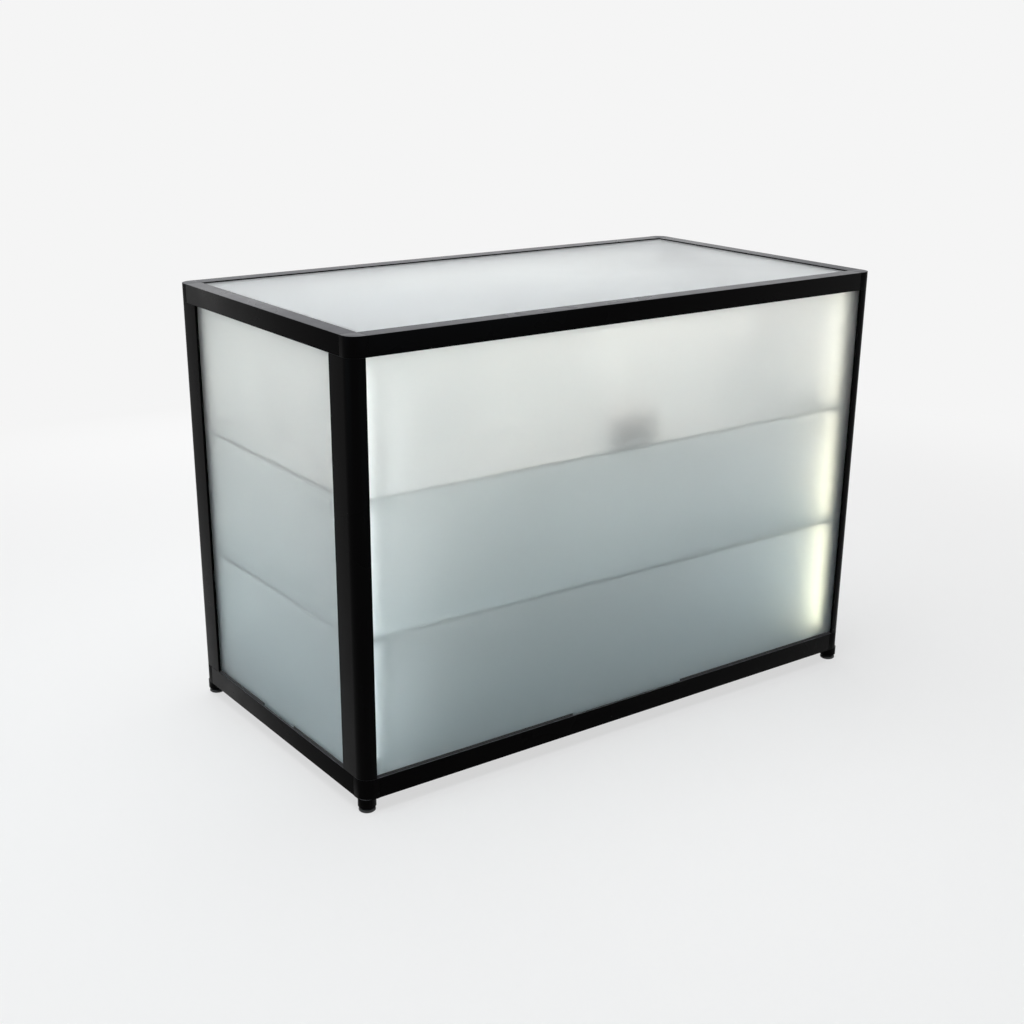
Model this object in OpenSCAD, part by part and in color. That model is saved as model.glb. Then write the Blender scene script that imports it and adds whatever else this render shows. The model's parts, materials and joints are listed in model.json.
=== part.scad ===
// Glass display counter: black aluminium frame, frosted glass on three sides and on top,
// two glass shelves and two sliding doors at the back. It stands on four levelling feet.
// Units are millimetres. +X runs to the right along the front, +Y towards the back, +Z up.
// The origin lies on the floor under the middle of the counter.

/* [Overall] */
// Width of the counter along its front
counter_w = 1500; // [1200:10:1800]
// Depth of the counter from front to back
counter_d = 800; // [650:10:900]
// Height of the counter from the floor to the top of the frame
counter_h = 1050; // [900:10:1150]

/* [Posts] */
// Width of a corner post as seen from the front
post_w = 37; // [36:0.5:40]
// Width of a corner post as seen from the side
post_d = 86; // [84:1:110]
// Radius of the rounded outer corner of posts and corner blocks
nose_r = 30; // [20:1:32]
// Wall of the extruded profiles
wall = 2.4; // [1.8:0.1:2.6]
// Rounding of the long edges of the profiles
edge_r = 1.5; // [0.5:0.25:2]

/* [Rails] */
// Width of the rails as seen from above, and of the corner blocks
rail_w = 42; // [42:1:50]
// Height of the top rails
top_rail_h = 44; // [40:1:54]
// Height of the bottom rails
bottom_rail_h = 48; // [44:1:60]
// Height of the underside of the bottom rails above the floor
rail_clear = 32; // [30:1:45]
// How far the ledge under the top glass and the floor panel reaches inwards
ledge_w = 16; // [10:1:24]
// Thickness of the ledges
ledge_t = 3; // [2:0.5:4]

/* [Glass] */
// Thickness of the front and side panels
panel_t = 5; // [4:0.5:5]
// How far the panels stand back from the outer face of the frame
panel_setback = 6.7; // [6:0.1:7]
// Free play on each face of a panel in its groove
groove_gap = 0.7; // [0.5:0.1:0.9]
// Depth of the panel grooves in posts and rails
groove_depth = 8; // [6:0.5:9]
// Free play at the edges of a panel in its grooves
panel_play = 0.3; // [0.2:0.1:1]
// Thickness of the top glass
top_glass_t = 8; // [6:1:10]
// How far the top glass lies below the top of the frame
top_recess = 3; // [1:0.5:4]
// Free play round the top glass and the floor panel
sheet_gap = 0.5; // [0.3:0.1:1.5]
// Height of the glazing beads above the bottom rails
bead_h = 5; // [3:0.5:8]
// Thickness of a glazing bead in front of the glass
bead_t = 2.6; // [1.5:0.1:3]
// Share of each opening's width that has no glazing bead, in the middle
bead_open = 0.24; // [0.1:0.02:0.5]

/* [Shelves and floor] */
// Thickness of the shelves
shelf_t = 8; // [6:1:10]
// Height of the top of the lower shelf above the floor
shelf_low_z = 406; // [360:5:430]
// Height of the top of the upper shelf above the floor
shelf_high_z = 712; // [660:5:740]
// Thickness of the floor panel
floor_t = 15; // [10:1:18]
// Height of the ledge under the floor panel above the underside of the rails
floor_ledge_z = 25; // [20:1:28]
// Gap between the front glass and the shelves
shelf_front_gap = 6; // [2:0.5:10]
// Gap between the side glass and the shelves
shelf_side_gap = 2; // [1:0.5:6]
// Radius of the shelves' notched inner corners
notch_r = 6; // [4:1:10]

/* [Shelf brackets] */
// Width of a shelf bracket
bracket_w = 16; // [12:1:20]
// Height of a shelf bracket's back plate
bracket_h = 42; // [30:1:60]
// How far a shelf bracket reaches under the shelf
bracket_reach = 34; // [24:1:40]
// Width of the slot in the posts that holds the brackets
slot_w = 8.2; // [6:0.2:9]
// Thickness of the rubber pad on a bracket
pad_t = 1.5; // [1:0.25:3]

/* [Doors] */
// Thickness of the door glass
door_t = 5; // [4:0.5:5.5]
// How far the two doors overlap in the middle
door_overlap = 40; // [36:2:80]
// Distance from the back face of the counter to the middle of the outer door
door_setback = 19; // [18:0.5:20]
// Distance between the middles of the two doors
door_pitch = 15; // [15:0.5:16]
// Width of the channel along the bottom of a door
shoe_w = 11; // [10.5:0.1:11.5]
// Height of the channel along the bottom of a door
shoe_h = 39; // [36:1:50]
// Diameter of a door roller
roller_d = 18; // [14:1:20]
// Width of a door roller
roller_w = 6; // [5:0.2:6.4]
// Diameter of a roller axle
axle_d = 4; // [3:0.5:6]
// Distance from the end of a door to its rollers
roller_inset = 90; // [50:5:150]
// Height of the running rails of the lower door track
track_rail_h = 7; // [5:0.5:9]
// Thickness of the running rails and of the fins of the upper door track
track_rail_t = 2.4; // [1.5:0.1:2.6]
// Height of the upper door track
track_top_h = 25; // [20:1:35]
// Diameter of the hole in the door glass for a finger cup
cup_d = 38; // [30:1:50]
// Depth of a finger cup
cup_depth = 8; // [7.5:0.5:8.5]
// Distance from the end of a door to the middle of its finger cup
cup_inset = 60; // [45:5:120]
// Height of the finger cups and of the lock above the floor
cup_z = 560; // [500:10:650]

/* [Door lock] */
// Diameter of the lock's barrel in the door glass
lock_d = 19; // [16:0.5:22]
// Diameter of the lock's plunger
plunger_d = 8; // [6:0.5:9]
// Travel of the lock's plunger
plunger_travel = 7.5; // [7.2:0.1:7.8]

/* [Feet] */
// Diameter of the round stub under a bottom corner block
stub_d = 41; // [36:1:42]
// Height of the stub's underside above the floor
stub_clear = 11; // [10.5:0.5:14]
// Diameter of a foot's glide on the floor
glide_d = 38; // [30:1:41]
// Height of a foot's glide
glide_h = 9; // [8:0.5:9.5]
// Diameter of a foot's stem
stem_d = 10; // [8:1:14]
// Length of a foot's stem that stays in its bore when the foot is screwed right out
stem_hold = 27; // [25:1:30]
// Travel of a foot from fully screwed in to screwed right out
foot_travel = 15; // [5:1:20]

/* [Lighting] */
// Width of the light channels on the front posts
light_w = 17; // [14:1:20]
// Depth of the light channels
light_t = 8; // [6:0.5:9]
// Distance from the front face to the middle of a light channel
light_setback = 71; // [68:0.5:75]
// Width of the light's control box
box_w = 120; // [90:5:160]
// Depth of the light's control box
box_d = 46; // [35:1:60]
// Height of the light's control box
box_h = 62; // [50:1:80]
// Bore of the cable grommet in the floor panel
grommet_d = 12; // [8:1:20]

/* [Hidden] */
$fn = 64;
// Facets of the large and of the small rounds in drawn sections
fine_fn = 96;
small_fn = 24;
// Running clearance of a shaft in its bore, on the radius
run_fit = 0.05;
// Clearance between pieces that are set against each other
seat = 0.2;
// Clearance between pieces that move past each other
pass = 0.5;
// Overlap that keeps cuts clean
e = 0.5;

// Each corner of the counter: its name, and its side along X and Y
CORNERS = [["front_left", -1, -1], ["front_right", 1, -1], ["back_left", -1, 1], ["back_right", 1, 1]];
// Each side of the frame: its name, its turn about Z, and whether it holds a glass panel
SIDES = [["front", 0, true], ["right", 90, true], ["back", 180, false], ["left", 270, true]];
// Each door: its name, its side along X, and how far it is behind the outer door
DOORS = [["left", -1, 0], ["right", 1, 1]];
ROLLERS = ["outer", "inner"];

// Heights that the pieces share
rail_top_z = rail_clear + bottom_rail_h;
top_rail_z = counter_h - top_rail_h;
glass_top_z = counter_h - top_recess;
glass_low_z = glass_top_z - top_glass_t;
floor_low_z = rail_clear + floor_ledge_z;
floor_top_z = floor_low_z + floor_t;

// Grooves for the panels, measured inwards from the outer face
groove_a = panel_setback - groove_gap;
groove_b = panel_setback + panel_t + groove_gap;

// Square chamber in the posts, and the length of the corner blocks' tongues in it
tongue_a = groove_b + wall;
post_chamber_b = post_w - wall;
tongue_l = 40;
// Main chamber in the rails, and the length of the corner blocks' tongues in it
rail_chamber_a = groove_b + 2 * wall;
rail_chamber_b = rail_w - wall;
rail_tongue_l = 28;

// Slot in the posts for the shelf brackets: its middle from the front or back face, its
// depth behind the wall, and its width there
slot_v = post_w + 13;
slot_depth = 6;
slot_inner_w = slot_w + 8;

// Feet: their middle from the two outer faces, the stem and the room above it, and the
// chamfer under the stub
foot_c = stub_d / 2 + 1;
stem_l = stem_hold + foot_travel;
stem_room = 2;
stub_chamfer = 1.5;

// Corner radius of the top glass and of the shelves
sheet_r = 1;
shelf_r = 2;

// Lighting on the front posts: wall of the channels, and their gap to the rails
channel_wall = 1.4;
light_gap = 10;
light_len = top_rail_z - rail_top_z - 2 * light_gap;
light_u = post_w + light_t;

// Gaps of the shelves to the light channels, to the posts and to the inner door
shelf_u = light_u + 3;
shelf_post_gap = 4;
shelf_back_gap = 10;

// Doors: the opening, the size of a door, and the track they run in
door_open_w = counter_w - 2 * post_w;
door_side_gap = 1;
door_w = (door_open_w + door_overlap) / 2 - door_side_gap;
track_base_t = 3;
rail_run_z = rail_top_z + track_base_t + track_rail_h;
roller_groove = 2;
roller_z = rail_run_z + roller_d / 2 - roller_groove + seat;
axle_x = [roller_inset, door_w - roller_inset];
axle_head_t = 0.8;
shoe_low_z = rail_top_z + track_base_t + 3;
shoe_web_z = roller_z + roller_d / 2 + 1;
shoe_web_t = 2.5;
shoe_r = 0.8;
door_low_z = shoe_web_z + shoe_web_t + seat;
door_top_z = top_rail_z - track_base_t - 6;

// Finger cups: wall, and the rim round the hole in the glass with its eased edges
cup_wall = 1.3;
cup_rim = 4;
cup_rim_t = 1.2;
cup_ease = 0.8;

// Lock: its place along the outer door, which is the middle of the counter, the flange and
// the nut of the barrel, the plunger's head, its tip beyond the nut, and the strike's bush
lock_x = door_open_w / 2 - door_side_gap;
lock_flange = 4;
lock_flange_t = 3;
lock_nut = 3;
lock_nut_t = 4;
lock_ease = 1;
plunger_head = 3;
plunger_head_t = 3;
plunger_tip = 1.5;
strike_d = plunger_d + 6;
strike_lip = 2;
strike_lip_t = 1;

// Cable hole in the floor panel: its diameter and its place
grommet_hole = grommet_d + 14;
grommet_x = counter_w / 2 - post_d - 60;
grommet_y = counter_d / 2 - post_d - 40;

// Distance from the back face of the counter to the middle of a door
function door_v(k) = door_setback + k * door_pitch;
// Length of a side of the frame, and its distance from the middle of the counter
function is_long(s) = s[1] % 180 == 0;
function side_len(s) = is_long(s) ? counter_w : counter_d;
function side_off(s) = is_long(s) ? counter_d / 2 : counter_w / 2;
// Width of a side's opening between its two posts
function side_open(s) = side_len(s) - 2 * (is_long(s) ? post_w : post_d);

// Turns a shape that is drawn at the front left corner, with u along X and v along Y
// and the outer corner at the origin, to the corner on the sides sx and sy.
module at_corner(sx, sy) {
    mirror([sx > 0 ? 1 : 0, 0, 0]) mirror([0, sy > 0 ? 1 : 0, 0])
        translate([-counter_w / 2, -counter_d / 2, 0]) children();
}

// Section drawn with x inwards from the outer face and y up, run along one side
module along_side(s, length) {
    rotate([0, 0, s[1]]) translate([-length / 2, -side_off(s), 0])
        rotate([90, 0, 90]) linear_extrude(length) children();
}

// Rectangle from corner to corner
module rect(x0, y0, x1, y1) {
    translate([x0, y0]) square([x1 - x0, y1 - y0]);
}

// Rectangle with all four corners rounded
module round_rect(x0, y0, x1, y1, r) {
    rect(x0 + r, y0, x1 - r, y1);
    rect(x0, y0 + r, x1, y1 - r);
    for (x = [x0 + r, x1 - r], y = [y0 + r, y1 - r]) translate([x, y]) circle(r, $fn = small_fn);
}

// Box from corner to corner
module block(x0, y0, z0, x1, y1, z1) {
    translate([x0, y0, z0]) cube([x1 - x0, y1 - y0, z1 - z0]);
}

// Rectangle from the origin whose outer corner has the large nose radius
module nose_rect(w, d, r) {
    difference() {
        round_rect(0, 0, w, d, edge_r);
        rect(-e, -e, r, r);
    }
    intersection() {
        translate([r, r]) circle(r, $fn = fine_fn);
        rect(0, 0, r, r);
    }
}

// Section of a corner post, with u to the right and v up, outer corner at the origin
module post_section() {
    slot_a = slot_v - slot_inner_w / 2;
    slot_b = slot_v + slot_inner_w / 2;
    groove_end_v = post_d - groove_depth;
    difference() {
        nose_rect(post_w, post_d, nose_r);
        // hollow behind the nose, kept clear of the square chamber and of the groove
        difference() {
            intersection() {
                translate([nose_r, nose_r]) circle(nose_r - wall, $fn = fine_fn);
                rect(wall, wall, post_w - groove_depth - wall, post_chamber_b);
            }
            rect(tongue_a - wall, tongue_a - wall, post_w, post_w);
        }
        // square chamber for the tongues of the corner blocks
        rect(tongue_a, tongue_a, post_chamber_b, post_chamber_b);
        // chambers of the long leg
        rect(wall, post_w, post_w - slot_depth - 2 * wall, groove_end_v - wall);
        rect(groove_b + wall, slot_b + wall, post_chamber_b, post_d - wall);
        // slot for the shelf brackets
        rect(post_w - slot_depth - wall, slot_a, post_chamber_b, slot_b);
        rect(post_chamber_b - e, slot_v - slot_w / 2, post_w + e, slot_v + slot_w / 2);
        // grooves for the front panel and for the side panel
        rect(post_w - groove_depth, groove_a, post_w + e, groove_b);
        rect(groove_a, groove_end_v, groove_b, post_d + e);
    }
}

// Corner post between the bottom and the top corner block
module post(sx, sy) {
    color("#161616") at_corner(sx, sy)
        translate([0, 0, rail_top_z]) linear_extrude(top_rail_z - rail_top_z) post_section();
}

// Tongues of a corner block: two into the rails between z0 and z1, one into the post, which
// stands on post_z or hangs from it
module tongues(z0, z1, post_z, post_above) {
    a = rail_chamber_a + seat;
    b = rail_chamber_b - seat;
    block(rail_w - e, a, z0 + seat, rail_w + rail_tongue_l, b, z1 - seat);
    block(a, rail_w - e, z0 + seat, b, rail_w + rail_tongue_l, z1 - seat);
    p = tongue_a + seat;
    q = post_chamber_b - seat;
    block(p, p, post_z - (post_above ? e : tongue_l), q, q, post_z + (post_above ? tongue_l : e));
}

// Groove in a corner block between z0 and z1, where the front panel reaches past the rails
module block_groove(z0, z1) {
    block(post_w - groove_depth, groove_a, z0, rail_w + e, groove_b, z1);
}

// Top corner block: closes the ends of two top rails above a post
module top_block(sx, sy) {
    color("#1b1b1b") at_corner(sx, sy) difference() {
        union() {
            translate([0, 0, top_rail_z]) linear_extrude(top_rail_h) nose_rect(rail_w, rail_w, nose_r);
            tongues(top_rail_z + wall, counter_h - wall, top_rail_z, false);
        }
        block_groove(top_rail_z - e, top_rail_z + groove_depth);
    }
}

// Bottom corner block: joins two bottom rails and a post, and carries the foot
module bottom_block(sx, sy) {
    color("#1b1b1b") at_corner(sx, sy) difference() {
        union() {
            translate([0, 0, rail_clear]) linear_extrude(bottom_rail_h) nose_rect(rail_w, rail_w, nose_r);
            tongues(rail_clear + wall, rail_top_z - wall, rail_top_z, true);
            translate([foot_c, foot_c, stub_clear]) {
                cylinder(d1 = stub_d - 2 * stub_chamfer, d2 = stub_d, h = stub_chamfer);
                translate([0, 0, stub_chamfer]) cylinder(d = stub_d, h = rail_clear - stub_clear);
            }
        }
        block_groove(rail_top_z - groove_depth, rail_top_z + e);
        // bore for the stem of the foot
        translate([foot_c, foot_c, stub_clear - e])
            cylinder(r = stem_d / 2 + run_fit, h = stem_l + stem_room + e);
    }
}

// Levelling foot: domed glide, collar with a groove below it, and stem
module foot(sx, sy) {
    r = glide_d / 2;
    chamfer = 2;
    dome = 4;
    neck_r = stem_d / 2 + 3;
    collar_r = r - 2;
    neck_h = 2;
    dome_z = glide_h - neck_h / 2;
    color("#0d0d0d") at_corner(sx, sy) translate([foot_c, foot_c, 0]) {
        rotate_extrude() polygon(concat(
            [[0, 0], [r - chamfer, 0], [r, chamfer]],
            [for (t = [0 : 10 : 90]) [r - dome + dome * cos(t), dome_z - dome + dome * sin(t)]],
            [[neck_r, dome_z], [neck_r, dome_z + neck_h], [collar_r, dome_z + neck_h]],
            [[collar_r, stub_clear], [0, stub_clear]]
        ));
        translate([0, 0, stub_clear - e]) cylinder(d = stem_d, h = stem_l + e);
    }
}

// Section of a rail, with x inwards and y up from the rail's underside. The groove for a
// panel opens upwards in a bottom rail and downwards in a top rail.
module rail_section(h, ledge_z, has_groove, groove_up) {
    side_low = has_groove && !groove_up ? groove_depth + wall : wall;
    side_top = has_groove && groove_up ? h - groove_depth - wall : h - wall;
    difference() {
        union() {
            round_rect(0, 0, rail_w, h, edge_r);
            rect(rail_w - wall, ledge_z, rail_w + ledge_w, ledge_z + ledge_t);
        }
        // chamber beside the groove, and the main chamber that takes the block's tongue
        rect(wall, side_low, groove_b + wall, side_top);
        rect(rail_chamber_a, wall, rail_chamber_b, h - wall);
        if (has_groove)
            rect(groove_a, groove_up ? h - groove_depth : -e, groove_b, groove_up ? h + e : groove_depth);
    }
}

// Top rail with the ledge that carries the top glass
module top_rail(s) {
    length = side_len(s) - 2 * rail_w;
    color("#161616") difference() {
        translate([0, 0, top_rail_z]) along_side(s, length)
            rail_section(top_rail_h, glass_low_z - ledge_t - top_rail_z, s[2], false);
        if (!is_long(s)) ledge_cuts(length, side_off(s), glass_low_z);
    }
}

// Bottom rail with the ledge that carries the floor panel
module bottom_rail(s) {
    length = side_len(s) - 2 * rail_w;
    color("#161616") difference() {
        translate([0, 0, rail_clear]) along_side(s, length)
            rail_section(bottom_rail_h, floor_ledge_z - ledge_t, s[2], true);
        if (!is_long(s)) ledge_cuts(length, side_off(s), floor_low_z);
    }
}

// Clears the ends of the short rails' ledges where the long rails' ledges pass
module ledge_cuts(length, off, z) {
    x = off - rail_w;
    y = length / 2 - ledge_w - pass;
    for (k = [0, 1], m = [0, 1]) mirror([k, 0, 0]) mirror([0, m, 0])
        block(-x, -length / 2 - e, z - ledge_t - e, -x + ledge_w + e, -y, z + e);
}

// Frosted panel in the grooves of two posts and two rails, along one side
module side_panel(s) {
    reach = groove_depth - panel_play;
    x = side_open(s) / 2 + reach;
    color("#c3d0d0", 0.9) rotate([0, 0, s[1]]) translate([0, -side_off(s) + panel_setback, 0])
        block(-x, 0, rail_top_z - reach, x, panel_t, top_rail_z + reach);
}

// Glazing beads on the bottom rail, one at each end of the panel, open in the middle. A
// thin tail holds each bead in the gap between the glass and the groove.
module bead(s) {
    open_w = side_open(s) - 2 * seat;
    length = open_w * (1 - bead_open) / 2;
    back = panel_setback - seat / 2;
    tail = back - groove_gap + seat / 2;
    tail_low = 1 - groove_depth;
    crown = 0.8;
    color("#0f0f0f") rotate([0, 0, s[1]]) for (k = [0, 1]) mirror([k, 0, 0])
        translate([-open_w / 2, -side_off(s), rail_top_z]) rotate([90, 0, 90]) linear_extrude(length)
            polygon([
                [tail, tail_low], [back, tail_low], [back, bead_h], [back - crown, bead_h],
                [back - bead_t, bead_h * 0.4], [back - bead_t, 0], [tail, 0]
            ]);
}

// Frosted top glass on the ledges of the top rails
module top_glass() {
    x = counter_w / 2 - rail_w - sheet_gap;
    y = counter_d / 2 - rail_w - sheet_gap;
    color("#dfe5e6", 0.95) translate([0, 0, glass_low_z]) linear_extrude(top_glass_t)
        round_rect(-x, -y, x, y, sheet_r);
}

// Floor panel on the ledges of the bottom rails, with a hole for the cable
module floor_panel() {
    x = counter_w / 2 - rail_w - sheet_gap;
    y = counter_d / 2 - rail_w - sheet_gap;
    color("#3c4245") difference() {
        block(-x, -y, floor_low_z, x, y, floor_top_z);
        translate([grommet_x, grommet_y, floor_low_z - e]) cylinder(d = grommet_hole, h = floor_t + 2 * e);
    }
}

// Shelf with its corners notched round the posts and the light channels
module shelf(top_z) {
    x_mid = counter_w / 2 - panel_setback - panel_t - shelf_side_gap;
    x_end = counter_w / 2 - shelf_u;
    y_front = counter_d / 2 - panel_setback - panel_t - shelf_front_gap;
    y_back = counter_d / 2 - door_v(1) - shoe_w / 2 - shelf_back_gap;
    y_post = counter_d / 2 - post_d - shelf_post_gap;
    color("#a9c4bd", 0.8) translate([0, 0, top_z - shelf_t]) linear_extrude(shelf_t) {
        round_rect(-x_end, -y_front, x_end, y_back, shelf_r);
        round_rect(-x_mid, -y_post, x_mid, y_post, 2 * shelf_r);
        // rounded inner corners of the notches
        for (k = [0, 1], m = [0, 1]) mirror([k, 0]) mirror([0, m]) translate([x_end, y_post])
            difference() {
                rect(-e, -e, notch_r, notch_r);
                translate([notch_r, notch_r]) circle(notch_r, $fn = small_fn);
            }
    }
}

// Bracket in the slot of a post: back plate, tapered arm, rubber pad and sliding nut
module bracket(shelf_z) {
    plate_t = 4;
    arm_root = 21;
    arm_tip = 5;
    pad_low = bracket_h - pad_t;
    pad_a = shelf_u - post_w + 1;
    pad_b = bracket_reach - 4;
    pad_edge = 2;
    nut_low = 8;
    nut_top = bracket_h - 10;
    neck_y = slot_w / 2 - pass;
    nut_y = slot_inner_w / 2 - pass;
    translate([post_w, slot_v, shelf_z - shelf_t - seat - bracket_h]) {
        translate([0, bracket_w / 2, 0]) rotate([90, 0, 0]) linear_extrude(bracket_w) polygon([
            [seat, 0], [plate_t, 0], [plate_t, bracket_h - arm_root], [bracket_reach, bracket_h - arm_tip],
            [bracket_reach, pad_low], [seat, pad_low]
        ]);
        block(pad_a, -bracket_w / 2 + pad_edge, pad_low - e, pad_b, bracket_w / 2 - pad_edge, bracket_h);
        block(-wall - slot_depth + 1, -nut_y, nut_low, -wall - pass, nut_y, nut_top);
        block(-wall - pass - e, -neck_y, nut_low, seat + e, neck_y, nut_top);
    }
}

module shelf_brackets() {
    color("#b9bcc0") for (z = [shelf_low_z, shelf_high_z], c = CORNERS) at_corner(c[1], c[2]) bracket(z);
}

// Runs a section along the opening at the back, with x out of the counter and y up from z
module along_track(z) {
    translate([-door_open_w / 2 + seat, counter_d / 2, z])
        rotate([90, 0, 90]) linear_extrude(door_open_w - 2 * seat) children();
}

// Upper door track: a base under the top rail and three fins that guide the glass
module door_track_top() {
    first = door_v(0) - door_pitch / 2;
    half = track_rail_t / 2;
    color("#1b1b1b") along_track(top_rail_z) {
        rect(-first - 2 * door_pitch - half, -track_base_t, -first + half, 0);
        for (k = [0 : 2]) translate([-first - k * door_pitch, 0]) rect(-half, -track_top_h, half, 0);
    }
}

// Lower door track: a base on the bottom rail and two rails with rounded crowns
module door_track_bottom() {
    first = door_v(0) - door_pitch / 2;
    half = track_rail_t / 2;
    crown_y = track_base_t + track_rail_h - half;
    color("#8d9094") along_track(rail_top_z) {
        rect(-first - 2 * door_pitch, 0, -first, track_base_t);
        for (k = [0, 1]) translate([-door_v(k), 0]) {
            rect(-half, 0, half, crown_y);
            translate([0, crown_y]) circle(half, $fn = small_fn);
        }
    }
}

// Moves a shape to a door: x from the door's outer end, y inwards from its back face
module at_door(d) {
    mirror([d[1] > 0 ? 1 : 0, 0, 0])
        translate([-door_open_w / 2 + door_side_gap, counter_d / 2 - door_v(d[2]), 0]) children();
}

// Lays a shape that is turned about Z across a door, at x and z, with its Z axis inwards
module across_door(d, x, y, z) {
    at_door(d) translate([x, y, z]) rotate([90, 0, 0]) children();
}

// Glass of a door with its holes for the finger cup and for the lock or its strike
module door_glass(d) {
    hole_l = door_t + 2 * e;
    color("#c9d6d5", 0.85) difference() {
        at_door(d) block(0, -door_t / 2, door_low_z, door_w, door_t / 2, door_top_z);
        across_door(d, cup_inset, 0, cup_z) cylinder(d = cup_d, h = hole_l, center = true);
        across_door(d, lock_x, 0, cup_z)
            cylinder(d = d[2] == 0 ? lock_d : strike_d, h = hole_l, center = true);
    }
}

// Channel along the bottom of a door: glass above, rollers below
module door_shoe(d) {
    glass_half = door_t / 2 + seat;
    room_half = roller_w / 2 + pass;
    top_z = shoe_low_z + shoe_h;
    color("#a9adb1") difference() {
        at_door(d) translate([pass, 0, 0]) rotate([90, 0, 90]) linear_extrude(door_w - 2 * pass)
            difference() {
                round_rect(-shoe_w / 2, shoe_low_z, shoe_w / 2, top_z, shoe_r);
                rect(-glass_half, shoe_web_z + shoe_web_t, glass_half, top_z + e);
                rect(-room_half, shoe_low_z - e, room_half, shoe_web_z);
            }
        for (x = axle_x) across_door(d, x, 0, roller_z)
            cylinder(r = axle_d / 2 + run_fit, h = shoe_w + 2 * e, center = true);
    }
}

// The two axles of a door's rollers, riveted over on both sides of the shoe
module roller_axles(d) {
    r = axle_d / 2;
    head_r = r + 1.2;
    a = shoe_w / 2 + seat / 2;
    b = a + axle_head_t;
    ease = axle_head_t / 2;
    color("#8f9397") for (x = axle_x) across_door(d, x, 0, roller_z) rotate_extrude() polygon([
        [0, -b], [head_r - ease, -b], [head_r, -b + ease], [head_r, -a], [r, -a],
        [r, a], [head_r, a], [head_r, b - ease], [head_r - ease, b], [0, b]
    ]);
}

// Grooved roller on its axle
module roller(d, k) {
    r = roller_d / 2;
    floor_r = r - roller_groove;
    bore = axle_d / 2 + run_fit;
    half = roller_w / 2;
    groove = track_rail_t / 2 + pass;
    flank = 0.4;
    color("#f2f2f0") across_door(d, axle_x[k], 0, roller_z) rotate_extrude() polygon([
        [bore, -half], [r, -half], [r, -groove - flank], [floor_r, -groove + flank],
        [floor_r, groove - flank], [r, groove + flank], [r, half], [bore, half]
    ]);
}

// Flush finger cup through the door glass, open towards the back
module finger_cup(d) {
    r = cup_d / 2 - seat;
    inner = r - cup_wall;
    rim = r + cup_rim;
    bed = cup_depth - cup_wall;
    color("#1b1b1b") across_door(d, cup_inset, door_t / 2, cup_z) rotate_extrude($fn = fine_fn) polygon([
        [0, bed], [inner, bed], [inner, 0], [inner + cup_ease, -cup_rim_t], [rim - cup_ease, -cup_rim_t],
        [rim, -cup_rim_t + cup_ease], [rim, 0], [r, 0], [r, bed], [inner, cup_depth], [0, cup_depth]
    ]);
}

// Places a turned piece of the lock in a door's glass, with its axis running inwards
module at_lock(d) {
    across_door(d, lock_x, door_t / 2, cup_z) children();
}

// Barrel of the lock: flange outside the door, body through the glass and nut inside
module lock_barrel() {
    r = lock_d / 2 - seat;
    flange = r + lock_flange;
    nut = r + lock_nut;
    nut_end = door_t + lock_nut_t;
    bore = plunger_d / 2 + run_fit;
    color("#c4c7ca") at_lock(DOORS[0]) rotate_extrude() polygon([
        [bore, -lock_flange_t], [flange - lock_ease, -lock_flange_t], [flange, -lock_flange_t + lock_ease],
        [flange, 0], [r, 0], [r, door_t], [nut, door_t], [nut, nut_end], [bore, nut_end]
    ]);
}

// Plunger of the lock, shown pulled out, with a key slot in its head
module lock_plunger() {
    r = plunger_d / 2;
    head = r + plunger_head;
    under = -lock_flange_t - plunger_travel - seat;
    face = under - plunger_head_t;
    tip = door_t + lock_nut_t + plunger_tip;
    key_w = 1.2;
    key_l = 6;
    key_depth = 2;
    color("#d5d7d9") at_lock(DOORS[0]) difference() {
        rotate_extrude() polygon([
            [0, face], [head - lock_ease, face], [head, face + lock_ease], [head, under],
            [r, under], [r, tip - lock_ease], [r - lock_ease, tip], [0, tip]
        ]);
        block(-key_w / 2, -key_l / 2, face - e, key_w / 2, key_l / 2, face + key_depth);
    }
}

// Strike: bush in the inner door's glass that the plunger enters
module lock_strike() {
    r = strike_d / 2 - seat;
    lip = r + strike_lip;
    bore = plunger_d / 2 + pass;
    ease = 0.4;
    color("#1b1b1b") at_lock(DOORS[1]) rotate_extrude() polygon([
        [bore + ease, -strike_lip_t], [lip, -strike_lip_t], [lip, 0], [r, 0], [r, door_t],
        [bore, door_t], [bore, -strike_lip_t + ease]
    ]);
}

// Runs a section up a front post, with x away from the post and y across the channel
module up_post(sx) {
    at_corner(sx, -1) translate([post_w + seat / 2, light_setback, rail_top_z + light_gap])
        linear_extrude(light_len) children();
}

// Open channel on a front post that holds the lamps
module light_channel(sx) {
    half = light_w / 2;
    color("#c9ccd0") up_post(sx) difference() {
        rect(0, -half, light_t, half);
        rect(channel_wall, -half + channel_wall, light_t + e, half - channel_wall);
    }
}

// Strip of lamps on the floor of a light channel
module light_strip(sx) {
    tape_w = 10;
    tape_t = 0.8;
    lamp_w = 5;
    lamp_t = 1.6;
    pitch = 25;
    tape_a = channel_wall + seat / 2;
    lamp_b = tape_a + tape_t + lamp_t;
    count = floor(light_len / pitch);
    color("#f4f1e4") {
        up_post(sx) rect(tape_a, -tape_w / 2, tape_a + tape_t, tape_w / 2);
        at_corner(sx, -1) translate([post_w + seat / 2, light_setback, rail_top_z + light_gap])
            for (k = [0 : count - 1]) translate([0, 0, pitch * (k + 0.5)])
                block(tape_a + tape_t / 2, -lamp_w / 2, -lamp_w / 2, lamp_b, lamp_w / 2, lamp_w / 2);
    }
}

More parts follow.
